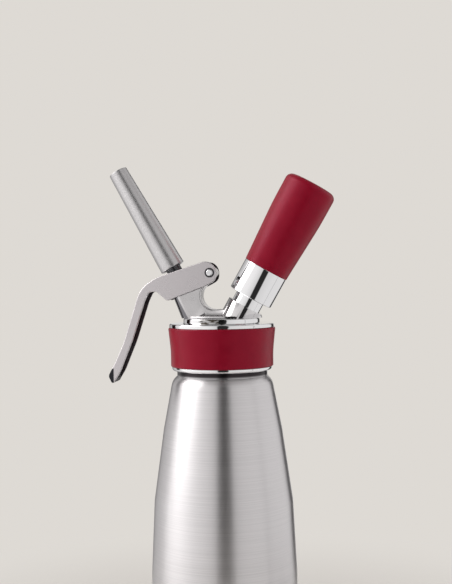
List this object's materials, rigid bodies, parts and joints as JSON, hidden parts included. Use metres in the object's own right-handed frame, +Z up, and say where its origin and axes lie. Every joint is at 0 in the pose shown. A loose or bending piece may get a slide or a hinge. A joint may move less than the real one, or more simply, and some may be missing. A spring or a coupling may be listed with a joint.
{
  "type": "whipped cream dispenser",
  "caption": "Steel cream whipper: tapered bottle, screwed head with silicone band, lever-worked valve with long tip, and a leaning gas charger holder.",
  "frame": {"origin": "centre of the bottle's foot ring, on the plane it stands on", "axes": "+Z up along the bottle, +X towards the charger holder, the lever and the tip lean towards -X, -Y is the front in the picture"},
  "size_m": [0.1468, 0.094, 0.3317],
  "materials": {
    "bottle_steel": "satin stainless steel, brushed round the body",
    "polished_steel": "mirror-polished stainless steel",
    "red_silicone": "matt crimson silicone",
    "gasket_rubber": "grey food-grade silicone",
    "cast_steel": "satin cast stainless steel",
    "turned_steel": "turned stainless steel",
    "spring_steel": "bright drawn spring wire",
    "tip_steel": "stainless steel, brushed round the cone",
    "lever_steel": "satin cast stainless steel, blasted and softly polished",
    "charger_steel": "bright zinc-plated steel"
  },
  "bodies": {
    "bottle": {"bottle": "bottle_steel"},
    "head": {"lid_cap": "polished_steel", "grip_band": "red_silicone", "head_gasket": "gasket_rubber", "valve_bridge": "cast_steel", "valve_nut": "turned_steel", "stem_seals": "gasket_rubber", "valve_spring": "spring_steel", "lever_pin": "polished_steel", "pin_washers": "turned_steel", "charger_stub": "polished_steel", "gas_screw": "turned_steel", "non_return_cap": "gasket_rubber", "piercing_pin": "turned_steel", "charger_seal": "gasket_rubber"},
    "lever": {"lever": "lever_steel"},
    "valve": {"valve_stem": "turned_steel", "valve_washer": "gasket_rubber", "thrust_collar": "turned_steel", "tip_adapter": "turned_steel", "tip_seal": "gasket_rubber"},
    "tip": {"decorator_tip": "tip_steel"},
    "holder": {"holder_body": "polished_steel", "holder_grip": "red_silicone", "gas_charger": "charger_steel"}
  },
  "joints": [
    {"name": "head_lift", "type": "slide", "parent": "bottle", "child": "head", "axis": [0, 0, 1], "range_m": [0, 0.06]},
    {"name": "lever_pivot", "type": "hinge", "parent": "head", "child": "lever", "pos_m": [-0.00652, 0, 0.26175], "axis": [0, -1, 0], "range_deg": [0, 10], "stiffness_Nm_per_rad": 4, "springref_deg": -6.88},
    {"name": "valve_stroke", "type": "slide", "parent": "head", "child": "valve", "axis": [0.4924, 0, -0.8704], "range_m": [0, 0.0036], "deforming": ["valve_spring"]},
    {"name": "tip_lift", "type": "slide", "parent": "valve", "child": "tip", "axis": [-0.4924, 0, 0.8704], "range_m": [0, 0.04]},
    {"name": "holder_lift", "type": "slide", "parent": "head", "child": "holder", "axis": [0.4924, 0, 0.8704], "range_m": [0, 0.07]}
  ],
  "couplings": [
    {"joint": "valve_stroke", "follows": "lever_pivot", "m_per_rad": 0.0202}
  ]
}
